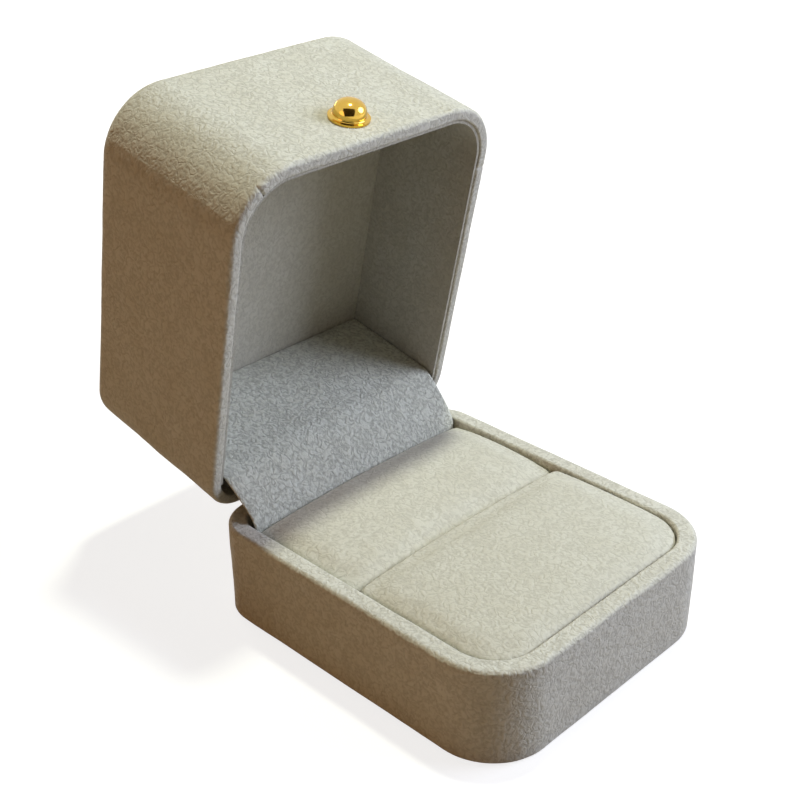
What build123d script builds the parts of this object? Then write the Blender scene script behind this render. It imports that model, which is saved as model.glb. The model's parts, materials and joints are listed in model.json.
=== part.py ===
from build123d import *
import os
from math import cos, radians, sin

os.makedirs("parts", exist_ok=True)

# Ring presentation box, millimetres. The origin is the middle of the underside, +Z is up and the
# knob side of the shut box faces -Y. The lid is drawn open, leaning back on its hinge.

# Box
box_width = 56.0
box_depth = 63.5
base_height = 17.8
lid_height = 32.5
front_corner = 10.9       # plan radius of the two front corners
rear_corner = 7.0         # plan radius of the two rear corners
seam_gap = 0.2            # between the two rims when the box is shut
open_angle = 78.0         # from shut to the open stop

# Wrapped shells
cover = 0.6               # microfibre cloth glued over each shell
base_wall = 2.0
base_floor = 1.6
lid_wall = 0.9
lid_roof = 2.0
base_turn_in = 5.0        # how far the cloth is turned in past the base rim
lid_turn_in = 4.0         # how far the cloth is turned in past the lid rim
rim_round = 0.8           # outer edge of both rims
rim_inner_round = 0.45    # inner edge of both rims
foot_round = 0.8          # lower edge of the base
crown_round = 2.6         # upper edge of the lid

# Underside
foot_gap = 0.2            # cloth hem above the table
underlay = 0.9            # felt sheet that the box stands on
hem_width = 5.0           # cloth turned under the base
underlay_gap = 0.3        # felt to the hem

# Hinge
hinge_drop = 0.3          # axis below the base rim, on the line of the rear faces
sheet = 0.6               # leaf thickness
leaf_width = 26.0
knuckle_count = 5
knuckle_gap = 0.15        # between neighbouring knuckles
pin_radius = 0.5
pin_clearance = 0.05      # running clearance in the knuckles
pin_head = 0.8            # radius of the peened ends
pin_head_length = 0.4
base_leaf_length = 10.0
lid_leaf_length = 11.0
notch_side = 0.8          # cut in the walls beside the leaves
notch_clear = 0.1         # cut in the walls past the leaves
knuckle_clear = 0.2       # leaf slot to the other leaf's knuckle
rivet_spacing = 16.0
rivet_radius = 0.9
rivet_head_radius = 1.6
rivet_head = 0.6
rivet_inset = 6.5         # rivet line below or above the bend
rivet_clearance = 0.05
spring_sheet = 0.3
spring_width = 18.0
spring_tip_gap = 0.15     # spring finger to the knuckle it bears on
spring_slot = 6.0         # gap between the two fingers

# Ring insert
card = 0.8                # board under and behind the pads
insert_gap = 0.2          # pads to the base rim
card_back = 5.7           # rear face of the box to the back of the board
card_lip = 1.5            # upright board below the base rim
slit_depth = 31.0         # rear face of the box to the middle of the ring slit
slit_width = 0.6
pad_draw = 0.6            # degrees that the pad sides draw in
pad_round = 0.9
pad_corner = 1.4          # plan corners at the slit and the flap
pad_crown_radius = 300.0  # crown across the width
front_pad_heights = (0.5, 0.9, 0.2)     # above the rim: at the slit, in the middle, at the front
rear_pad_heights = (-0.3, 0.5, -0.5)    # above the rim: at the flap, in the middle, at the slit

# Flap of cloth over the hinge
flap_cloth = 0.6
flap_side = 3.7           # box side to the flap's edge
flap_gap = 0.15           # flap to the board and to the rear pad
flap_tail = 7.0           # length tucked behind the rear pad
flap_sag = 0.6            # how far the free stretch bows towards the hinge
flap_bend = 1.2

# Lid linings
lining = 0.5              # cloth-faced card round the side walls
lining_set_back = 0.3     # its edge inside the lid rim
lining_fit = 0.25
rear_lining = 1.2
rear_lining_depth = 5.9   # rear face of the box to the back of the rear lining
rear_lining_foot = 2.4    # rear lining above the lid rim
roof_lining = 1.0
roof_lining_drop = 9.8    # lid top to the back of the roof lining
foam_gap = 0.2

# Knob
knob_rise = 6.7           # knob centre above the lid rim
knob_flange_radius = 3.4
knob_flange = 0.35
knob_waist = 0.7          # where the flange's curve meets the dome, above the wall
knob_waist_radius = 2.7
knob_swell = 0.08         # how fast the dome widens above its waist
knob_height = 3.15
knob_stem_radius = 0.8
knob_stem_gap = 0.05
knob_stem_tip = 0.1       # stem end short of the front lining
nut_radius = 2.2
nut_thickness = 0.4

# Derived heights and depths
hinge_height = base_height - hinge_drop
lid_rim = base_height + seam_gap
lid_top = lid_rim + lid_height
shell_foot = underlay
base_rim_width = 2 * cover + base_wall
lid_rim_width = 2 * cover + lid_wall
lining_face = lid_rim_width + lining
shell_top = base_height - cover
knuckle_radius = pin_radius + pin_clearance + sheet
knuckle_pitch = leaf_width / knuckle_count
notch_half = leaf_width / 2 + notch_side
insert_inset = base_rim_width + insert_gap
card_low = shell_foot + base_floor
pad_floor = card_low + card
flap_depth = card_back + card + flap_gap + flap_cloth / 2
pad_back = flap_depth + flap_cloth / 2 + flap_gap
roof_lining_back = lid_top - roof_lining_drop
roof_lining_face = roof_lining_back - roof_lining
rear_lining_face = rear_lining_depth + rear_lining

# Both frames have their origin on the rear face: local +Y points back, and heights are those of the
# shut box. The lid's frame is turned back about the hinge axis.
lean = radians(open_angle)
base_frame = Plane(origin=(0, box_depth / 2, 0))
hinge_frame = Plane(
    origin=(0, box_depth / 2, hinge_height), x_dir=(1, 0, 0), z_dir=(0, sin(lean), cos(lean))
)
lid_frame = hinge_frame.offset(-hinge_height)
lid_up = Axis(lid_frame.origin, lid_frame.z_dir)


def side_plane(frame, x=0.0):
    # Upright plane across the box: sketch X is local Y, sketch Y is height.
    return Plane(
        origin=frame.from_local_coords((x, 0, 0)), x_dir=frame.y_dir, z_dir=frame.x_dir
    )


def footprint(inset):
    # Plan outline of the box, drawn in by inset.
    with BuildSketch() as outline:
        with Locations((0, -box_depth / 2)):
            Rectangle(box_width - 2 * inset, box_depth - 2 * inset)
        fillet(outline.vertices().group_by(Axis.Y)[0], front_corner - inset)
        fillet(outline.vertices().group_by(Axis.Y)[-1], rear_corner - inset)
    return outline.sketch


def block(frame, inset, low, high, mode=Mode.ADD):
    # Plan outline pulled up between two heights.
    with BuildSketch(frame.offset(low)) as outline:
        add(footprint(inset))
    extrude(outline.sketch, amount=high - low, mode=mode)


def bar(frame, near, far, low, high, width, mode=Mode.ADD, x=0.0):
    # Straight bar across the box, near and far being distances in front of the rear face.
    with BuildSketch(side_plane(frame, x)) as profile:
        with Locations((-(near + far) / 2, (low + high) / 2)):
            Rectangle(far - near, high - low)
    extrude(profile.sketch, amount=width / 2, both=True, mode=mode)


def peg(frame, x, height, near, far, radius, mode=Mode.ADD):
    # Round peg along the depth of the box.
    start = Plane(
        origin=frame.from_local_coords((x, -near, height)), x_dir=frame.x_dir, z_dir=-frame.y_dir
    )
    with BuildSketch(start) as spot:
        Circle(radius)
    extrude(spot.sketch, amount=far - near, mode=mode)


def roll(frame, radius, width, mode=Mode.ADD, x=0.0):
    # Round bar across the box on the hinge axis.
    with BuildSketch(side_plane(frame, x)) as section:
        with Locations((0, hinge_height)):
            Circle(radius)
    extrude(section.sketch, amount=width / 2, both=True, mode=mode)


def knuckle_stations(first):
    # Middles of every second knuckle along the pin.
    return [(i - (knuckle_count - 1) / 2) * knuckle_pitch for i in range(first, knuckle_count, 2)]


base_knuckles = knuckle_stations(0)
lid_knuckles = knuckle_stations(1)
rivet_places = (-rivet_spacing / 2, rivet_spacing / 2)


def hinge_leaf(frame, wall_face, side, length, other_knuckles):
    # Rolled sheet leaf: knuckles on the pin, a web through the wall notch, a plate on the wall.
    # side is -1 for the leaf below the axis and +1 for the one above it.
    outer = hinge_height + side * knuckle_radius
    inner = outer - side * sheet
    end = outer + side * length
    web_low, web_high = sorted((inner, outer))
    plate_low, plate_high = sorted((inner, end))
    slot_reach = knuckle_radius + knuckle_clear
    roll(frame, knuckle_radius, leaf_width)
    bar(frame, 0, wall_face + sheet, web_low, web_high, leaf_width)
    bar(frame, wall_face, wall_face + sheet, plate_low, plate_high, leaf_width)
    for x in other_knuckles:
        bar(
            frame, -slot_reach, slot_reach, hinge_height - slot_reach, hinge_height + slot_reach,
            knuckle_pitch + knuckle_gap, Mode.SUBTRACT, x,
        )
    roll(frame, pin_radius + pin_clearance, 2 * leaf_width, Mode.SUBTRACT)
    for x in rivet_places:
        hole = rivet_radius + rivet_clearance
        rivet_line = outer + side * rivet_inset
        peg(frame, x, rivet_line, wall_face, wall_face + sheet, hole, Mode.SUBTRACT)


def rivets(frame, height, wall_face, head_face):
    # Shanks from the shell's outer face to a head against the inner face of what they hold.
    for x in rivet_places:
        peg(frame, x, height, wall_face, head_face, rivet_radius)
        peg(frame, x, height, head_face, head_face + rivet_head, rivet_head_radius)


def crowned_pad(pad, near, far, far_corner, heights):
    # Foam pad between two distances from the rear face, crowned both ways, its edges softened.
    near_height, crown_height, far_height = [base_height + rise for rise in heights]
    blank_top = base_height + max(heights) + pad_round
    with BuildSketch() as plan:
        with Locations((0, -(near + far) / 2)):
            Rectangle(box_width - 2 * insert_inset, far - near)
        fillet(plan.vertices().group_by(Axis.Y)[0], far_corner)
        fillet(plan.vertices().group_by(Axis.Y)[-1], pad_corner)
    with BuildSketch(base_frame.offset(pad_floor)) as foot:
        add(plan.sketch)
    extrude(foot.sketch, amount=blank_top - pad_floor, taper=pad_draw)
    with BuildSketch(side_plane(base_frame)) as section:
        with BuildLine():
            crest = ThreePointArc(
                (-near, near_height), (-(near + far) / 2, crown_height), (-far, far_height)
            )
            Polyline(crest @ 1, (-far, 0), (-near, 0), crest @ 0)
        make_face()
    crown_axis = Axis((0, 0, crown_height - pad_crown_radius), (0, 1, 0))
    revolve(section.sketch, axis=crown_axis, revolution_arc=360, mode=Mode.INTERSECT)
    fillet(pad.faces().sort_by(Axis.Z)[-1].edges(), pad_round)


base_rivet_line = hinge_height - knuckle_radius - rivet_inset
base_wall_face = cover + base_wall
notch_floor = hinge_height - knuckle_radius - notch_clear

with BuildPart() as base_shell:
    # Moulded tray with a notch for the hinge in its rear wall.
    block(base_frame, cover, shell_foot, shell_top)
    block(base_frame, base_wall_face, card_low, shell_top, Mode.SUBTRACT)
    bar(base_frame, 0, base_rim_width, notch_floor, base_height, 2 * notch_half, Mode.SUBTRACT)
    for x in rivet_places:
        hole = rivet_radius + rivet_clearance
        peg(base_frame, x, base_rivet_line, cover, base_wall_face, hole, Mode.SUBTRACT)
base_shell.part.label = "base_shell"
export_step(base_shell.part, "parts/base_shell.step")

with BuildPart() as base_cover:
    # Cloth skin: outer walls, rim, turned-in edge and the hem under the floor.
    block(base_frame, 0, foot_gap, base_height)
    fillet(base_cover.faces().sort_by(Axis.Z)[-1].edges(), rim_round)
    fillet(base_cover.faces().sort_by(Axis.Z)[0].edges(), foot_round)
    block(base_frame, cover, shell_foot, shell_top, Mode.SUBTRACT)
    block(base_frame, base_rim_width, shell_top, base_height, Mode.SUBTRACT)
    block(base_frame, base_wall_face, base_height - base_turn_in, shell_top)
    block(base_frame, base_rim_width, base_height - base_turn_in, shell_top, Mode.SUBTRACT)
    rim = base_cover.faces().sort_by(Axis.Z)[-1]
    fillet(rim.inner_wires()[0].edges(), rim_inner_round)
    block(base_frame, hem_width, foot_gap, shell_foot, Mode.SUBTRACT)
    bar(base_frame, 0, base_rim_width, notch_floor, base_height, 2 * notch_half, Mode.SUBTRACT)
    bar(
        base_frame, base_wall_face, base_rim_width, base_height - base_turn_in, base_height,
        2 * notch_half, Mode.SUBTRACT,
    )
base_cover.part.label = "base_cover"
export_step(base_cover.part, "parts/base_cover.step")

with BuildPart() as base_underlay:
    # Felt sheet that hides the hem and meets the table.
    block(base_frame, hem_width + underlay_gap, 0, underlay)
base_underlay.part.label = "base_underlay"
export_step(base_underlay.part, "parts/base_underlay.step")

with BuildPart() as insert_card:
    # Board under the pads, folded up behind them to carry the flap's tail.
    block(base_frame, insert_inset, card_low, pad_floor)
    bar(base_frame, 0, card_back, card_low, pad_floor, box_width, Mode.SUBTRACT)
    bar(
        base_frame, card_back, card_back + card, card_low, base_height - card_lip,
        box_width - 2 * flap_side,
    )
insert_card.part.label = "insert_card"
export_step(insert_card.part, "parts/insert_card.step")

with BuildPart() as rear_pad:
    crowned_pad(rear_pad, pad_back, slit_depth - slit_width / 2, pad_corner, rear_pad_heights)
rear_pad.part.label = "rear_pad"
export_step(rear_pad.part, "parts/rear_pad.step")

with BuildPart() as front_pad:
    crowned_pad(
        front_pad, slit_depth + slit_width / 2, box_depth - insert_inset,
        front_corner - insert_inset, front_pad_heights,
    )
front_pad.part.label = "front_pad"
export_step(front_pad.part, "parts/front_pad.step")

with BuildPart() as base_hinge_leaf:
    hinge_leaf(base_frame, base_wall_face, -1, base_leaf_length, lid_knuckles)
base_hinge_leaf.part.label = "base_hinge_leaf"
export_step(base_hinge_leaf.part, "parts/base_hinge_leaf.step")

with BuildPart() as hinge_pin:
    # Plain rod with peened ends.
    roll(base_frame, pin_radius, leaf_width)
    for side in (-1, 1):
        head_middle = side * (leaf_width + pin_head_length) / 2
        roll(base_frame, pin_head, pin_head_length, x=head_middle)
hinge_pin.part.label = "hinge_pin"
export_step(hinge_pin.part, "parts/hinge_pin.step")

with BuildPart() as hinge_spring:
    # Detent spring: a strip on the base leaf with two fingers that bear on the lid's knuckles.
    strip_face = base_wall_face + sheet
    finger_low = hinge_height - spring_sheet / 2
    finger_top = hinge_height + spring_sheet / 2
    finger_tip = knuckle_radius + spring_tip_gap
    bar(
        base_frame, strip_face, strip_face + spring_sheet, base_rivet_line - rivet_head_radius,
        finger_top, spring_width,
    )
    bar(base_frame, finger_tip, strip_face + spring_sheet, finger_low, finger_top, spring_width)
    bar(
        base_frame, 0, strip_face + 2 * spring_sheet, base_rivet_line + rivet_head_radius,
        base_height, spring_slot, Mode.SUBTRACT,
    )
    for x in rivet_places:
        hole = rivet_radius + rivet_clearance
        peg(base_frame, x, base_rivet_line, strip_face, strip_face + spring_sheet, hole, Mode.SUBTRACT)
hinge_spring.part.label = "hinge_spring"
export_step(hinge_spring.part, "parts/hinge_spring.step")

with BuildPart() as base_rivets:
    rivets(base_frame, base_rivet_line, cover, base_wall_face + sheet + spring_sheet)
base_rivets.part.label = "base_rivets"
export_step(base_rivets.part, "parts/base_rivets.step")

lid_wall_face = cover + lid_wall
lid_rivet_line = hinge_height + knuckle_radius + rivet_inset

with BuildPart() as lid_hinge_leaf:
    hinge_leaf(lid_frame, lid_wall_face, 1, lid_leaf_length, base_knuckles)
lid_hinge_leaf.part.label = "lid_hinge_leaf"
export_step(lid_hinge_leaf.part, "parts/lid_hinge_leaf.step")

with BuildPart() as lid_rivets:
    rivets(lid_frame, lid_rivet_line, cover, lid_wall_face + sheet)
lid_rivets.part.label = "lid_rivets"
export_step(lid_rivets.part, "parts/lid_rivets.step")


def beside_hinge(frame, depth, height):
    # A point of the side plane, given in the base's own frame.
    place = frame.from_local_coords((0, -depth, height))
    return base_frame.to_local_coords(place)


with BuildPart() as hinge_flap:
    # Cloth from behind the rear pad, across the open hinge, to the foot of the rear lining.
    lip_depth = rear_lining_face - flap_cloth
    board_foot = lid_rim + rear_lining_foot
    low_end = beside_hinge(base_frame, flap_depth, base_height - flap_tail)
    foot = beside_hinge(base_frame, flap_depth, base_height - flap_cloth)
    lip = beside_hinge(lid_frame, lip_depth, lid_rim + flap_bend)
    high_end = beside_hinge(lid_frame, rear_lining_face - flap_cloth / 2, board_foot - flap_gap)
    across = lip - foot
    sag = Vector(0, across.Z, -across.Y).normalized() * flap_sag
    middle = (foot + lip) / 2 + sag
    with BuildSketch(side_plane(base_frame)) as section:
        with BuildLine():
            FilletPolyline(
                *[(p.Y, p.Z) for p in (low_end, foot, middle, lip, high_end)], radius=flap_bend / 2
            )
        trace(line_width=flap_cloth)
    extrude(section.sketch, amount=box_width / 2 - flap_side, both=True)
hinge_flap.part.label = "hinge_flap"
export_step(hinge_flap.part, "parts/hinge_flap.step")

lid_shell_low = lid_rim + cover
lid_shell_top = lid_top - cover
lid_notch_top = hinge_height + knuckle_radius + notch_clear
knob_height_on_lid = lid_rim + knob_rise

with BuildPart() as cup_form:
    # Outer form of the cup, which the cloth is drawn over.
    block(lid_frame, cover, lid_shell_low, lid_shell_top)
    fillet(cup_form.faces().sort_by(lid_up)[-1].edges(), crown_round - cover)

with BuildPart() as lid_shell:
    # Pressed cup, mouth down when shut.
    add(cup_form.part)
    block(lid_frame, lid_wall_face, lid_shell_low, lid_shell_top - lid_roof, Mode.SUBTRACT)
    bar(lid_frame, 0, lid_rim_width, lid_rim, lid_notch_top, 2 * notch_half, Mode.SUBTRACT)
    for x in rivet_places:
        hole = rivet_radius + rivet_clearance
        peg(lid_frame, x, lid_rivet_line, cover, lid_wall_face, hole, Mode.SUBTRACT)
    peg(
        lid_frame, 0, knob_height_on_lid, box_depth - lid_wall_face, box_depth,
        knob_stem_radius + knob_stem_gap, Mode.SUBTRACT,
    )
lid_shell.part.label = "lid_shell"
export_step(lid_shell.part, "parts/lid_shell.step")

with BuildPart() as lid_cover:
    # Cloth skin: roof, walls, rim and the turned-in edge.
    block(lid_frame, 0, lid_rim, lid_top)
    fillet(lid_cover.faces().sort_by(lid_up)[-1].edges(), crown_round)
    fillet(lid_cover.faces().sort_by(lid_up)[0].edges(), rim_round)
    add(cup_form.part, mode=Mode.SUBTRACT)
    block(lid_frame, lid_rim_width, lid_rim, lid_shell_low, Mode.SUBTRACT)
    block(lid_frame, lid_wall_face, lid_shell_low, lid_rim + lid_turn_in)
    block(lid_frame, lid_rim_width, lid_shell_low, lid_rim + lid_turn_in, Mode.SUBTRACT)
    rim = lid_cover.faces().sort_by(lid_up)[0]
    fillet(rim.inner_wires()[0].edges(), rim_inner_round)
    bar(lid_frame, 0, lid_rim_width, lid_rim, lid_notch_top, 2 * notch_half, Mode.SUBTRACT)
    bar(
        lid_frame, lid_wall_face, lid_rim_width, lid_rim, lid_rim + lid_turn_in,
        2 * notch_half, Mode.SUBTRACT,
    )
    peg(
        lid_frame, 0, knob_height_on_lid, box_depth - cover, box_depth,
        knob_stem_radius + knob_stem_gap, Mode.SUBTRACT,
    )
lid_cover.part.label = "lid_cover"
export_step(lid_cover.part, "parts/lid_cover.step")

with BuildPart() as lid_side_lining:
    # Cloth-faced card round the sides and front, from the rim to the roof lining.
    lining_foot = lid_rim + lining_set_back
    block(lid_frame, lid_rim_width, lining_foot, roof_lining_face)
    block(lid_frame, lining_face, lining_foot, roof_lining_face, Mode.SUBTRACT)
    bar(lid_frame, 0, rear_lining_depth, lid_rim, roof_lining_face, box_width, Mode.SUBTRACT)
lid_side_lining.part.label = "lid_side_lining"
export_step(lid_side_lining.part, "parts/lid_side_lining.step")

with BuildPart() as lid_rear_lining:
    # Flat board in front of the hinge.
    bar(
        lid_frame, rear_lining_depth, rear_lining_face, lid_rim + rear_lining_foot,
        roof_lining_face, box_width - 2 * (lining_face + lining_fit),
    )
lid_rear_lining.part.label = "lid_rear_lining"
export_step(lid_rear_lining.part, "parts/lid_rear_lining.step")

with BuildPart() as lid_roof_lining:
    # Flat board that closes the top of the inside, seated on the other linings' edges.
    block(lid_frame, lid_rim_width, roof_lining_face, roof_lining_back)
    bar(
        lid_frame, 0, rear_lining_depth, roof_lining_face, roof_lining_back, box_width,
        Mode.SUBTRACT,
    )
lid_roof_lining.part.label = "lid_roof_lining"
export_step(lid_roof_lining.part, "parts/lid_roof_lining.step")

with BuildPart() as lid_foam:
    # Foam block between the roof lining and the cup.
    block(
        lid_frame, lid_wall_face + foam_gap, roof_lining_back + foam_gap,
        lid_shell_top - lid_roof - foam_gap,
    )
lid_foam.part.label = "lid_foam"
export_step(lid_foam.part, "parts/lid_foam.step")

knob_axis = Axis(
    lid_frame.from_local_coords((0, -box_depth, knob_height_on_lid)), -lid_frame.y_dir
)
stem_length = lining_face - lining - knob_stem_tip


def off_wall(out, radius):
    # A point of the knob's section: distance out of the front wall, and radius.
    return (-box_depth - out, knob_height_on_lid + radius)


with BuildPart() as knob:
    # Flared flange and dome, with a plain stem through the wall.
    inward = Vector(0, -1)
    outward = Vector(-1, 0)
    swelling = Vector(-1, knob_swell)
    with BuildSketch(side_plane(lid_frame)) as section:
        with BuildLine():
            stem = Polyline(
                off_wall(-stem_length, 0),
                off_wall(-stem_length, knob_stem_radius),
                off_wall(0, knob_stem_radius),
                off_wall(0, knob_flange_radius),
                off_wall(knob_flange, knob_flange_radius),
            )
            flare = Spline(
                stem @ 1, off_wall(knob_waist, knob_waist_radius), tangents=[inward, outward]
            )
            dome = Spline(
                flare @ 1, off_wall(knob_height, 0), tangents=[swelling, inward]
            )
            Line(dome @ 1, stem @ 0)
        make_face()
    revolve(section.sketch, axis=knob_axis)
knob.part.label = "knob"
export_step(knob.part, "parts/knob.step")

with BuildPart() as knob_nut:
    # Push-on nut that grips the stem inside the cup.
    near = box_depth - lid_wall_face - nut_thickness
    far = box_depth - lid_wall_face
    peg(lid_frame, 0, knob_height_on_lid, near, far, nut_radius)
    peg(lid_frame, 0, knob_height_on_lid, near, far, knob_stem_radius, Mode.SUBTRACT)
knob_nut.part.label = "knob_nut"
export_step(knob_nut.part, "parts/knob_nut.step")
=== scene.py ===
import json
from math import cos, exp, radians, sin

import bpy
import numpy as np
from mathutils import Matrix, Vector
from mathutils import noise as mathNoise


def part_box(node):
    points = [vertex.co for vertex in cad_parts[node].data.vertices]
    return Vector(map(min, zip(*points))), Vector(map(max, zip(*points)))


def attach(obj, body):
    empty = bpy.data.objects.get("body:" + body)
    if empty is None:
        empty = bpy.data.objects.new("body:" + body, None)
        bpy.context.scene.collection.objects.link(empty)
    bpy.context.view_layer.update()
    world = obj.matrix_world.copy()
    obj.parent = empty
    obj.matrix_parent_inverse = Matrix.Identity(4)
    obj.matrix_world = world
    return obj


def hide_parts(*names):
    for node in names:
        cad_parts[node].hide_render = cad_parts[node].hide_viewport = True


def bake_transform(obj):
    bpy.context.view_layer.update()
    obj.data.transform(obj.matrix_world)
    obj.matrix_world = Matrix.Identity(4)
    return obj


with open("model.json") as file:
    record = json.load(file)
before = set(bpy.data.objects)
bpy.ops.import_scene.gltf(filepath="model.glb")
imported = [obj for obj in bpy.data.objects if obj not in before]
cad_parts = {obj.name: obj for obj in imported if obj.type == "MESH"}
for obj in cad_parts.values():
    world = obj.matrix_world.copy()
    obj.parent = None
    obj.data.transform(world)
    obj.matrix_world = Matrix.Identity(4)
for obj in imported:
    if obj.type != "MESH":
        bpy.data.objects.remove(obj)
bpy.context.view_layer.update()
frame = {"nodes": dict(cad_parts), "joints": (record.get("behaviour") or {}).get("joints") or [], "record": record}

mm = 0.001
weld = 0.001 * mm              # the CAD's loose triangles are merged where they are nearer than this
nodes = frame["nodes"]

# The places that everything here is worked out from: the box as it stands, the hinge line, and the
# lid as it stands open on it.
boxAcross = Vector((1, 0, 0))
boxFront = Vector((0, -1, 0))
boxUp = Vector((0, 0, 1))
hinge = Vector(frame["joints"][0]["pos_m"])
lidOpen = radians(frame["joints"][0]["range_deg"][1])
lidUp = Vector((0, sin(lidOpen), cos(lidOpen)))      # the lid's own up, as when it is shut
lidFront = Vector((0, -cos(lidOpen), sin(lidOpen)))  # the lid's own front


def lidPoint(x, depth, height):
    # depth in front of the rear face, height above the hinge line, both as in the shut box
    return hinge + boxAcross * x + lidFront * depth + lidUp * height


def deselect():
    if bpy.context.object and bpy.context.object.mode != "OBJECT":
        bpy.ops.object.mode_set(mode="OBJECT")
    bpy.ops.object.select_all(action="DESELECT")


def pick(obj):
    deselect()
    obj.select_set(True)
    bpy.context.view_layer.objects.active = obj


def feed(tree, socket, value):
    # a socket takes a link, a color or a number
    if isinstance(value, bpy.types.NodeSocket):
        tree.links.new(value, socket)
    elif isinstance(value, tuple):
        socket.default_value = (*value, 1)
    else:
        socket.default_value = value


def addNode(tree, kind, inputs, **settings):
    node = tree.nodes.new("ShaderNode" + kind)
    for name, value in settings.items():
        setattr(node, name, value)
    for key, value in inputs.items():
        feed(tree, node.inputs[key], value)
    return node


def newMaterial(name, inputs):
    mat = bpy.data.materials.new(name)
    mat.use_nodes = True
    shader = mat.node_tree.nodes["Principled BSDF"]
    for key, value in inputs.items():
        feed(mat.node_tree, shader.inputs[key], value)
    return mat, mat.node_tree, shader


def maths(tree, operation, *values):
    return addNode(tree, "Math", dict(enumerate(values)), operation=operation).outputs[0]


def mixColor(tree, factor, a, b):
    colorInputs = {0: factor, 6: a, 7: b}
    return addNode(tree, "Mix", colorInputs, data_type="RGBA").outputs[2]


def mapRange(tree, value, low, high, toLow=0.0, toHigh=1.0):
    ends = {"From Min": low, "From Max": high, "To Min": toLow, "To Max": toHigh}
    return addNode(tree, "MapRange", {"Value": value, **ends}).outputs["Result"]


def noise(tree, coords, size, detail, roughness, distortion=0.0):
    looks = {"Scale": 1 / size, "Detail": detail, "Roughness": roughness, "Distortion": distortion}
    return addNode(tree, "TexNoise", {"Vector": coords, **looks}).outputs["Fac"]


def objectCoords(tree):
    return addNode(tree, "TexCoord", {}).outputs["Object"]


# The cloth is a pressed microfibre: winding grooves with lumps between them, patches of nap that
# lie lighter or darker, and a fine fuzz. Each noise has its size, detail and roughness.
cloth = {
    "color": (0.675, 0.652, 0.562),
    "napColor": (0.72, 0.705, 0.628),
    "grooveGrainAndShade": 0.2,        # how much darker the grooves are, where the grain is 1: partly the cloth's own grain, partly painted shade in the grooves
    "worm": (1.25 * mm, 1.5, 0.45),
    "wormTwist": 0.6,
    "groove": 0.13,            # width of the grooves, as a share of the noise that draws them
    "ridge": 0.45,             # height of the ridges between them, against that of the lumps
    "pebble": (0.55 * mm, 1.0, 0.5),
    "patch": (7.0 * mm, 4.0, 0.62),
    "fuzz": (0.16 * mm, 2.0, 0.7),
    "shadeHeights": (0.4, 0.95),   # from the grooves' darker color, partly painted shade, to the ridges'
    "napSpread": (0.35, 0.68),
    "bump": 0.12 * mm,
    "fuzzBump": 0.02 * mm,
    "roughness": 0.92,
    "specular": 0.2,
    "sheen": 0.25,
    "sheenRoughness": 0.6,
    "sheenTint": (1, 0.97, 0.9),
}


def suede(name, tint, grain):
    mat, tree, shader = newMaterial(name, {
        "Roughness": cloth["roughness"],
        "Specular IOR Level": cloth["specular"],
        "Sheen Weight": cloth["sheen"],
        "Sheen Roughness": cloth["sheenRoughness"],
        "Sheen Tint": cloth["sheenTint"],
    })
    coords = objectCoords(tree)
    winding = noise(tree, coords, *cloth["worm"], cloth["wormTwist"])
    offMiddle = maths(tree, "ABSOLUTE", maths(tree, "SUBTRACT", winding, 0.5))
    ridge = mapRange(tree, offMiddle, 0.0, cloth["groove"])
    lumps = noise(tree, coords, *cloth["pebble"])
    height = maths(tree, "MULTIPLY_ADD", ridge, cloth["ridge"], lumps)
    color = tuple(c * t for c, t in zip(cloth["color"], tint))
    napColor = tuple(c * t for c, t in zip(cloth["napColor"], tint))
    # the grooves' color is darker: partly the grain's own tone, partly painted shade in them
    grooveGrainAndShadeColor = tuple(c * (1 - cloth["grooveGrainAndShade"] * grain) for c in color)
    nap = mapRange(tree, noise(tree, coords, *cloth["patch"]), *cloth["napSpread"])
    ground = mixColor(tree, nap, color, napColor)
    grained = mixColor(tree, mapRange(tree, height, *cloth["shadeHeights"]), grooveGrainAndShadeColor, ground)
    feed(tree, shader.inputs["Base Color"], grained)
    coarse = addNode(tree, "Bump", {"Height": height, "Distance": cloth["bump"] * grain, "Strength": 1.0})
    fuzz = noise(tree, coords, *cloth["fuzz"])
    fine = addNode(tree, "Bump", {"Height": fuzz, "Distance": cloth["fuzzBump"], "Strength": 1.0})
    feed(tree, fine.inputs["Normal"], coarse.outputs[0])
    feed(tree, shader.inputs["Normal"], fine.outputs[0])
    return mat


mottle = {
    "detail": 4.0,
    "roughness": 0.6,
    "spread": (0.3, 0.7),
    "polish": 0.9,             # the smoothest spots, as a share of the material's roughness
}


def plain(name, color, dark, size, roughness, metal, relief):
    # mottled stock: moulded plastic, felt, board, foam or metal, as its numbers say
    mat, tree, shader = newMaterial(name, {"Metallic": metal})
    spots = noise(tree, objectCoords(tree), size, mottle["detail"], mottle["roughness"])
    shade = mapRange(tree, spots, *mottle["spread"])
    feed(tree, shader.inputs["Base Color"], mixColor(tree, shade, dark, color))
    rough = mapRange(tree, spots, *mottle["spread"], roughness * mottle["polish"], roughness)
    feed(tree, shader.inputs["Roughness"], rough)
    bump = addNode(tree, "Bump", {"Height": spots, "Distance": relief, "Strength": 1.0})
    feed(tree, shader.inputs["Normal"], bump.outputs[0])
    return mat


# name, tint and grain of the cloth, for each slot of the record
suedes = {
    "cover_cloth": ("coverSuede", (1, 1, 1), 1.0),
    "lining_cloth": ("liningSuede", (0.85, 0.84, 0.82), 0.7),
    "pad": ("padSuede", (0.96, 0.955, 0.93), 0.7),
    # the flap's lighter, bluer tint is painted light: the cool light that falls on it under the open lid
    "flap_cloth": ("paintedCoolLightFlapSuede", (1.04, 1.08, 1.07), 1.6),
}
# the lid's side lining is a darker copy of the lining cloth: painted shade inside the lid
paintedShadeSideLining = ("paintedShadeSideLiningSuede", (0.72, 0.71, 0.70), 0.8)
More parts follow.
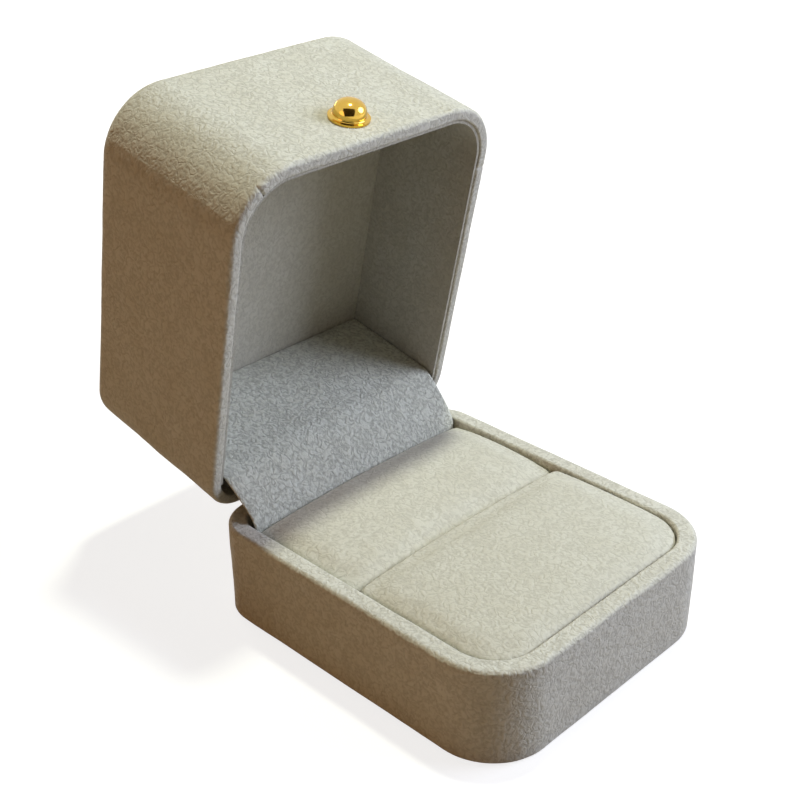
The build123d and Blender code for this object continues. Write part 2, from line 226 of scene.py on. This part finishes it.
# name, color, darker color, size of the mottle, roughness, metal and height of the relief
stock = {
    "moulding": ("mouldedPlastic", (0.42, 0.36, 0.28), (0.36, 0.3, 0.23), 4 * mm, 0.6, 0.0, 0.01 * mm),
    "felt": ("pressedFelt", (0.46, 0.42, 0.35), (0.3, 0.27, 0.22), 0.5 * mm, 0.95, 0.0, 0.1 * mm),
    "board": ("greyBoard", (0.45, 0.4, 0.32), (0.35, 0.31, 0.25), 1.2 * mm, 0.9, 0.0, 0.01 * mm),
    "foam": ("openFoam", (0.7, 0.66, 0.56), (0.4, 0.37, 0.3), 0.6 * mm, 0.95, 0.0, 0.2 * mm),
    "hinge_steel": ("rolledSteel", (0.6, 0.6, 0.58), (0.5, 0.5, 0.49), 1.5 * mm, 0.32, 1.0, 0.01 * mm),
    "knob_gold": ("polishedGold", (0.74, 0.49, 0.1), (0.66, 0.41, 0.07), 1.6 * mm, 0.12, 1.0, 0.01 * mm),
}
finishes = {slot: suede(*row) for slot, row in suedes.items()}
finishes.update({slot: plain(*row) for slot, row in stock.items()})
slotOf = {s["node"]: s["material_slot"] for s in frame["record"]["subparts"]}
for name, obj in nodes.items():
    obj.data.materials.clear()
    obj.data.materials.append(finishes[slotOf[name]])
# the side lining gets the darker copy, painted shade
nodes["lid_side_lining"].data.materials[0] = suede(*paintedShadeSideLining)
print("materials done")


def copyNode(name, node):
    # a copy of the CAD node as a piece of its own, its triangles merged, left open in edit mode
    piece = nodes[node].copy()
    piece.data = nodes[node].data.copy()
    bpy.context.scene.collection.objects.link(piece)
    piece.name = name
    piece.parent = None
    for key in list(piece.keys()):
        del piece[key]
    pick(piece)
    bpy.ops.object.mode_set(mode="EDIT")
    bpy.ops.mesh.select_all(action="SELECT")
    bpy.ops.mesh.remove_doubles(threshold=weld)
    return piece


def standIn(piece, node, slot):
    piece.data.materials.clear()
    piece.data.materials.append(finishes[slot])
    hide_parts(node)


# One sheet of cloth runs from behind the rear pad, over the hinge and up the back of the lid.
flap = {
    "depth": 6.95 * mm,        # base's rear face to the middle of the cloth
    "lidDepth": 7.4 * mm,      # the same on the lid's board
    "endLift": 0.2 * mm,       # the tail's end above that of the CAD flap
    "footDrop": 0.9 * mm,      # where the cloth starts to bend, below the base's rim
    "thick": 0.5 * mm,
    "edge": 3.7 * mm,          # side of the box to the cloth's edge in the base
    "lidEdge": 2.75 * mm,      # the same inside the lid
    "bend": 0.24,              # length of each bend, as a share of the free stretch
    "sag": 0.45 * mm,          # towards the hinge
    "ripples": ((5.0, 0.6, 0.08 * mm), (12.0, 2.0, 0.03 * mm)),  # turn, start and height of each
    "rippleWay": Vector((0, -0.7, 0.7)),
    "columns": 44,             # faces across, then faces up the tail, over the hinge and up the lid
    "tailRows": 6,
    "freeRows": 16,
    "lidRows": 20,
}


def boardEnds():
    # heights of the rear lining's two edges above the hinge line, as in the shut box
    heights = [(v.co - hinge).dot(lidUp) for v in nodes["lid_rear_lining"].data.vertices]
    return min(heights), max(heights)


def flapPath():
    # middle line of the cloth in the plane across the box, and the two ends of its free stretch
    base = Vector((0, hinge.y - flap["depth"], 0))
    tailEnd = base + boxUp * (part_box("hinge_flap")[0].z + flap["endLift"])
    foot = base + boxUp * (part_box("base_cover")[1].z - flap["footDrop"])
    low, high = (lidPoint(0, flap["lidDepth"], height) for height in boardEnds())
    path = [tailEnd.lerp(foot, i / flap["tailRows"]) for i in range(flap["tailRows"])]
    span = (low - foot).length
    rise = boxUp * span * flap["bend"]
    reach = -lidUp * span * flap["bend"]
    inward = Vector((0, low.z - foot.z, foot.y - low.y)).normalized()
    for i in range(flap["freeRows"]):
        t = i / flap["freeRows"]
        bezier = (foot * (1 - t) ** 3 + (foot + rise) * 3 * t * (1 - t) ** 2
                  + (low + reach) * 3 * t * t * (1 - t) + low * t ** 3)
        hump = (4 * t * (1 - t)) ** 2                # 1 halfway, 0 at both ends
        path.append(bezier + inward * flap["sag"] * hump)
    path += [low.lerp(high, i / flap["lidRows"]) for i in range(flap["lidRows"] + 1)]
    return path, foot, low


def makeFlap():
    path, foot, low = flapPath()
    rows = len(path) - 1
    deselect()
    bpy.ops.mesh.primitive_grid_add(
        x_subdivisions=flap["columns"], y_subdivisions=rows, size=2, location=(0, 0, 0))
    piece = bpy.context.object
    piece.name = "hingeCloth"
    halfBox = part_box("base_cover")[1].x
    for v in piece.data.vertices:
        side = v.co.x
        row = round((v.co.y + 1) / 2 * rows)
        inBase = (flap["tailRows"] + flap["freeRows"] - row) / flap["freeRows"]
        inBase = min(1.0, max(0.0, inBase))          # 1 in the base, 0 on the lid
        half = halfBox - flap["lidEdge"] - (flap["edge"] - flap["lidEdge"]) * inBase
        ripple = sum(high * sin(side * turn + start) for turn, start, high in flap["ripples"])
        v.co = path[row] + boxAcross * side * half
        v.co += flap["rippleWay"] * ripple * 4 * inBase * (1 - inBase)
    pick(piece)
    bpy.ops.object.shade_smooth()
    thick = piece.modifiers.new("thickness", "SOLIDIFY")
    thick.thickness = flap["thick"]
    thick.offset = 0
    bpy.ops.object.modifier_apply(modifier=thick.name)
    soft = piece.modifiers.new("softEdge", "SUBSURF")
    soft.levels = 1
    soft.render_levels = 1
    bpy.ops.object.modifier_apply(modifier=soft.name)
    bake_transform(piece)
    standIn(piece, "hinge_flap", "flap_cloth")


makeFlap()


# The cloth over the two shells is never quite flat, and softer at the rims.
wraps = {
    "cell": 1.1 * mm,          # size of the faces that the wave is cut into
    "wave": 0.16 * mm,         # long unevenness of the cloth
    "waveSize": 9.0 * mm,
    "ruck": 0.05 * mm,         # short unevenness
    "ruckSize": 2.2 * mm,
    "ruckShift": Vector((7.3, 1.9, 4.4)),
    "levelled": 0.65,          # taken off at the rims and the hem, so that the box shuts and stands
    "levelFrom": 1.3,          # how soon a sloping face counts as rim or hem
    "smoothAngle": radians(50),
}


def wrapWave(co):
    # how far the cloth stands off its shell here
    long = mathNoise.noise(co / wraps["waveSize"])
    short = mathNoise.noise(co / wraps["ruckSize"] + wraps["ruckShift"])
    return wraps["wave"] * long + wraps["ruck"] * short


def boxCorners(low, high):
    return [Vector((x, y, z)) for x in (low.x, high.x) for y in (low.y, high.y) for z in (low.z, high.z)]


def makeWrap(name, node, body, up, front, origin):
    # a copy of the node cut into a fine grid, moved along its normals
    piece = copyNode(name, node)
    corners = boxCorners(*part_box(node))
    for direction in (boxAcross, front, up):
        along = [(corner - origin).dot(direction) for corner in corners]
        first, reach = min(along), max(along) - min(along)
        cuts = int(reach / wraps["cell"])
        for i in range(1, cuts):
            place = origin + direction * (first + reach * i / cuts)
            bpy.ops.mesh.select_all(action="SELECT")
            bpy.ops.mesh.bisect(plane_co=place, plane_no=direction)
    bpy.ops.object.mode_set(mode="OBJECT")
    normals = [v.normal.copy() for v in piece.data.vertices]
    for v, normal in zip(piece.data.vertices, normals):
        rim = min(1, abs(normal.dot(up)) * wraps["levelFrom"])
        v.co += normal * wrapWave(v.co) * (1 - wraps["levelled"] * rim)
    bpy.ops.object.shade_smooth_by_angle(angle=wraps["smoothAngle"])
    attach(piece, body)
    standIn(piece, node, "cover_cloth")
    print(name, "done,", len(piece.data.polygons), "faces")
    return piece


makeWrap("baseWrap", "base_cover", "base", boxUp, boxFront, Vector())
lidWrap = makeWrap("lidWrap", "lid_cover", "lid", lidUp, lidFront, hinge)


# The turned-in cloth has two joints at the lid's rim, each a narrow dip across it.
crease = {
    "cuts": 3,                 # extra edges to each side of the dip
    "spacing": 0.16 * mm,
    "width": 0.22,             # in mm, as the next two
    "height": 2.5,             # how far up the wall it fades out
    "reach": 3.2,              # how far it runs across the rim
    # across the box, in front of the rear face, the rim's own run there, and how deep
    "places": (
        (-23.6 * mm, 61.2 * mm, Vector((0.8, 0, 0)) + lidFront * 0.6, 0.45 * mm),
        (26.6 * mm, 50.5 * mm, lidFront, 0.25 * mm),
    ),
}


def creaseRim(piece, x, depth, run, sink):
    place = lidPoint(x, depth, 0)
    pick(piece)
    bpy.ops.object.mode_set(mode="EDIT")
    for i in range(-crease["cuts"], crease["cuts"] + 1):
        bpy.ops.mesh.select_all(action="SELECT")
        bpy.ops.mesh.bisect(plane_co=place + run * i * crease["spacing"], plane_no=run)
    bpy.ops.object.mode_set(mode="OBJECT")
    for v in piece.data.vertices:
        away = (v.co - place) / mm
        height = away.dot(lidUp)
        aside = away.dot(run)
        along = (away - lidUp * height - run * aside).length
        if height < crease["height"] and along < crease["reach"]:
            dip = exp(-(aside / crease["width"]) ** 2) * (1 - height / crease["height"])
            v.co += lidUp * sink * dip


for place in crease["places"]:
    creaseRim(lidWrap, *place)
print("creases in the lid's rim done")


# The two pads of the insert press against the rim all round and against each other at the slit.
pads = {
    "voxel": 0.5 * mm,
    "cap": 0.7 * mm,           # how far the swelling may lift a point
    "fill": 0.14 * mm,         # pushed out sideways until it fills its place
    "fillEnd": 1.02,           # so that the sides themselves get all of it
    "evenFactor": 0.5,
    "evenTimes": 2,
}
swelling = {
    "scale": 10.0,             # the cloth is simulated this much larger
    "frames": 16,
    "held": 9.0 * mm,          # the lower part, which doesn't move
    "pressure": 4.0,
    "quality": 5,
    "mass": 0.3,
    "stiffness": 12,           # tension, compression and bending
    "shear": 4,
}
evening = {
    "cell": 0.8 * mm,
    "passes": 3,
    "top": 3.5 * mm,           # the part whose lift is averaged
    "fade": 10 * mm,           # above the underside, where all of the lift is given
    "margin": 3,               # spare cells of the grid
    "least": 1e-6,             # in place of no points in a cell
}


def swell(piece):
    # cloth under pressure, of which only the lift is kept
    rest = np.array([v.co for v in piece.data.vertices])
    middle = (rest.min(0) + rest.max(0)) / 2
    for v, co in zip(piece.data.vertices, rest):
        v.co = (co - middle) * swelling["scale"]
    held = piece.vertex_groups.new(name="held")
    heldTop = rest[:, 2].min() + swelling["held"]
    held.add([i for i, co in enumerate(rest) if co[2] < heldTop], 1.0, "REPLACE")
    pick(piece)
    sim = piece.modifiers.new("swell", "CLOTH")
    sim.settings.quality = swelling["quality"]
    sim.settings.mass = swelling["mass"]
    sim.settings.tension_stiffness = swelling["stiffness"]
    sim.settings.compression_stiffness = swelling["stiffness"]
    sim.settings.shear_stiffness = swelling["shear"]
    sim.settings.bending_stiffness = swelling["stiffness"]
    sim.settings.use_pressure = True
    sim.settings.uniform_pressure_force = swelling["pressure"]
    sim.settings.vertex_group_mass = held.name
    sim.settings.effector_weights.gravity = 0
    sim.collision_settings.use_collision = False
    sim.point_cache.frame_start = 1
    sim.point_cache.frame_end = swelling["frames"]
    for i in range(swelling["frames"]):
        bpy.context.scene.frame_set(i + 1)
    bpy.ops.object.modifier_apply(modifier=sim.name)
    bpy.context.scene.frame_set(1)
    heights = np.array([v.co.z / swelling["scale"] + middle[2] for v in piece.data.vertices])
    lift = evened(rest, np.clip(heights - rest[:, 2], 0, pads["cap"]))
    for v, co, up in zip(piece.data.vertices, rest, lift):
        v.co = co
        v.co.z += up
    piece.vertex_groups.clear()


def evened(rest, lift):
    # the lift averaged over a few millimetres of the top, so that no wrinkle of the sim is left
    low = rest.min(0)
    places = (rest[:, :2] - low[:2]) / evening["cell"]
    size = places.max(0).astype(int) + evening["margin"]
    total, count = np.zeros(size), np.zeros(size)
    top = rest[:, 2] > rest[:, 2].max() - evening["top"]
    spots = tuple(places[top].astype(int).T)
    np.add.at(total, spots, lift[top])
    np.add.at(count, spots, 1.0)
    for i in range(evening["passes"]):
        for grid in (total, count):
            grid[1:-1] = (grid[:-2] + 2 * grid[1:-1] + grid[2:]) / 4
            grid[:, 1:-1] = (grid[:, :-2] + 2 * grid[:, 1:-1] + grid[:, 2:]) / 4
    field = total / np.maximum(count, evening["least"])
    whole = places.astype(int)
    i, j = whole.T
    u, v = (places - whole).T
    smooth = (field[i, j] * (1 - u) * (1 - v) + field[i + 1, j] * u * (1 - v)
              + field[i, j + 1] * (1 - u) * v + field[i + 1, j + 1] * u * v)
    return smooth * np.clip((rest[:, 2] - low[2]) / evening["fade"], 0, 1)


# Shape of the edges at the slit. Its plain numbers are in mm too.
slit = {
    "band": 6 * mm,            # below the rim, nothing lower is touched
    "fade": 3.2,               # back from the slit
    "dipAt": 1.5,              # middle of the pressed-down stretch, and half its length
    "dipHalf": 9.5,
    "crispFrom": 2.0,          # below the rim
    "crispFade": 0.45,
    "puckerAt": -8,            # the puckers are deepest here
    "puckerHalf": 3.5,
    "puckerLeast": 0.15,
    # turn across the pad, turn back from the slit, start and share of each wave of the puckers
    "waves": ((1.9, 0.0, 0.5, 0.6), (3.7, 0.6, 0.0, 0.4)),
}


def slitShape(piece, pad, slitY):
    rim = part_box("base_cover")[1].z
    for v in piece.data.vertices:
        if v.co.z < rim - slit["band"]:
            continue
        x = v.co.x / mm
        away = max(0, (v.co.y - slitY) * pad["side"] / mm)
        near = 1 / (1 + (away / slit["fade"]) ** 2)
        pressed = 1 / (1 + ((x - slit["dipAt"]) / slit["dipHalf"]) ** 4)
        v.co.z -= pad["dip"] * near * pressed
        edge = max(0, min(1, (v.co.z - rim) / mm + slit["crispFrom"])) * exp(-away / slit["crispFade"])
        v.co.z += pad["crisp"] * edge
        ends = 1 / (1 + ((x - slit["puckerAt"]) / slit["puckerHalf"]) ** 2)
        wave = sum(share * sin(x * turn + away * back + start)
                   for turn, back, start, share in slit["waves"])
        v.co.z += pad["pucker"] * wave * near * (slit["puckerLeast"] + ends)


def fillPlace(piece, low, high):
    # the foam pushes the cloth out to all four sides
    middle = (low + high) / 2
    reach = (high - low) / 2
    for v in piece.data.vertices:
        for axis in (0, 1):
            side = (v.co[axis] - middle[axis]) / reach[axis] * pads["fillEnd"]
            v.co[axis] += pads["fill"] * max(-1, min(1, side)) ** 3
        v.co.z = max(low.z, v.co.z)


def makePad(name, pad):
    low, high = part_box(pad["node"])
    piece = copyNode(name, pad["node"])
    bpy.ops.object.mode_set(mode="OBJECT")
    piece.data.remesh_voxel_size = pads["voxel"]
    bpy.ops.object.voxel_remesh()
    swell(piece)
    slitShape(piece, pad, low.y if pad["side"] > 0 else high.y)
    pick(piece)
    even = piece.modifiers.new("even", "SMOOTH")
    even.factor = pads["evenFactor"]
    even.iterations = pads["evenTimes"]
    bpy.ops.object.modifier_apply(modifier=even.name)
    fine = piece.modifiers.new("fine", "SUBSURF")
    fine.levels = 1
    fine.render_levels = 1
    bpy.ops.object.modifier_apply(modifier=fine.name)
    fillPlace(piece, low, high)
    bpy.ops.object.shade_smooth()
    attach(piece, "base")
    standIn(piece, pad["node"], "pad")
    print(name, "done,", len(piece.data.polygons), "faces")


# side is 1 where the pad lies behind the slit, -1 where it lies in front
makePad("rearPad", {
    "node": "rear_pad", "side": 1, "tight": 0.8,
    "dip": 0.9 * mm, "crisp": 0.125 * mm, "pucker": 0.12 * mm,
})
makePad("frontPad", {
    "node": "front_pad", "side": -1, "tight": 0.85,
    "dip": 0.09 * mm, "crisp": 0.5 * mm, "pucker": 0.0,
})


shot = {
    "eye": (-144.22, -125.52, 147.65),               # mm
    "ahead": (0.62155, 0.60546, -0.49708),
    "right": (0.69585, -0.71818, -0.00468),
    "lens": 62.67,
    "sensor": 36,
    "shiftY": 0.0209,
    "clip": (0.01, 20),
}


def makeCamera():
    data = bpy.data.cameras.new("camera")
    cam = bpy.data.objects.new("camera", data)
    bpy.context.scene.collection.objects.link(cam)
    ahead = Vector(shot["ahead"]).normalized()
    right = Vector(shot["right"])
    right = (right - ahead * right.dot(ahead)).normalized()
    turn = Matrix((right, right.cross(ahead), -ahead)).transposed()
    cam.matrix_world = Matrix.Translation(Vector(shot["eye"]) * mm) @ turn.to_4x4()
    data.lens = shot["lens"]
    data.sensor_width = shot["sensor"]
    data.shift_y = shot["shiftY"]
    data.clip_start, data.clip_end = shot["clip"]
    bpy.context.scene.camera = cam


# A pale floor that fades to plain white, a weak warm world, and a dark card behind the camera that
# only the polished knob shows.
stage = {
    "floorSize": 6,
    "floorColor": (0.36, 0.31, 0.25),      # what its bounced light is coloured by
    "seenColor": (0.4, 0.4, 0.4),
    "glow": (0.8, 1.0),                    # near the box and far from it
    "glowReach": (0.12, 0.45),
    "worldColor": (1.0, 0.8, 0.6),
    "worldStrength": 0.055,
    "cardSize": 0.5,
    "cardPlace": 1.5,                      # times the camera's distance
    "cardColor": (0.035, 0.025, 0.018),
    "cardRoughness": 0.9,
}
# place, size, power and color of each lamp
lamps = {
    "window": ((0.29, -0.25, 0.24), 0.30, 1.7, (0.73, 0.80, 1.0)),
    "ceiling": ((0.10, 0.03, 0.58), 0.05, 1.88, (0.96, 1.0, 0.83)),
    "side": ((-0.42, 0.06, 0.14), 0.30, 0.235, (1.0, 0.46, 0.12)),
    "back": ((0.10, 0.50, 0.05), 0.30, 0.9, (1.0, 0.95, 0.88)),
}
lampTarget = Vector((0, 0.005, 0.03))


def areaLight(name, place, size, power, color):
    data = bpy.data.lights.new(name, "AREA")
    data.shape = "DISK"
    data.size = size
    data.energy = power
    data.color = color
    lamp = bpy.data.objects.new(name, data)
    bpy.context.scene.collection.objects.link(lamp)
    lamp.location = place
    lamp.rotation_euler = (lampTarget - Vector(place)).to_track_quat("-Z", "Y").to_euler()


def chooseSeen(tree, plainSide, seenSide):
    # the second shader where the camera, a mirror or glass looks straight at the surface
    path = addNode(tree, "LightPath", {}).outputs
    direct = maths(tree, "MAXIMUM", path["Is Camera Ray"], path["Is Glossy Ray"])
    direct = maths(tree, "MAXIMUM", direct, path["Is Transmission Ray"])
    return addNode(tree, "MixShader", {0: direct, 1: plainSide, 2: seenSide}).outputs[0]


def makeFloor():
    deselect()
    bpy.ops.mesh.primitive_plane_add(size=stage["floorSize"], location=(0, 0, 0))
    floor = bpy.context.object
    floor.name = "floor"
    mat, tree, shader = newMaterial("paleFloor", {
        "Base Color": stage["floorColor"], "Roughness": 1.0, "Specular IOR Level": 0.0})
    reach = addNode(tree, "VectorMath", {0: objectCoords(tree)}, operation="LENGTH").outputs["Value"]
    strength = mapRange(tree, reach, *stage["glowReach"], *stage["glow"])
    seen = addNode(tree, "BsdfDiffuse", {"Color": stage["seenColor"]})
    glow = addNode(tree, "Emission", {"Color": (1, 1, 1), "Strength": strength})
    both = addNode(tree, "AddShader", {0: seen.outputs[0], 1: glow.outputs[0]})
    surface = chooseSeen(tree, shader.outputs[0], both.outputs[0])
    feed(tree, tree.nodes["Material Output"].inputs["Surface"], surface)
    floor.data.materials.append(mat)


def makeWorld():
    world = bpy.data.worlds.new("studio")
    world.use_nodes = True
    tree = world.node_tree
    dim = tree.nodes["Background"]
    feed(tree, dim.inputs["Color"], stage["worldColor"])
    feed(tree, dim.inputs["Strength"], stage["worldStrength"])
    white = addNode(tree, "Background", {"Color": (1, 1, 1), "Strength": 1.0})
    surface = chooseSeen(tree, dim.outputs[0], white.outputs[0])
    feed(tree, tree.nodes["World Output"].inputs["Surface"], surface)
    bpy.context.scene.world = world


def makeCard():
    deselect()
    place = Vector(shot["eye"]) * stage["cardPlace"] * mm
    bpy.ops.mesh.primitive_plane_add(size=stage["cardSize"], location=place)
    card = bpy.context.object
    card.name = "darkCard"
    card.rotation_euler = Vector(shot["ahead"]).to_track_quat("Z", "Y").to_euler()
    bpy.ops.object.transform_apply(location=True, rotation=True, scale=True)
    looks = {"Base Color": stage["cardColor"], "Roughness": stage["cardRoughness"]}
    card.data.materials.append(newMaterial("darkCard", looks)[0])
    card.visible_camera = False
    card.visible_diffuse = False
    card.visible_shadow = False


makeCamera()
makeFloor()
makeWorld()
makeCard()
for name, row in lamps.items():
    areaLight(name, *row)
bpy.context.scene.view_settings.view_transform = "Standard"
print("camera, stage and lamps done")
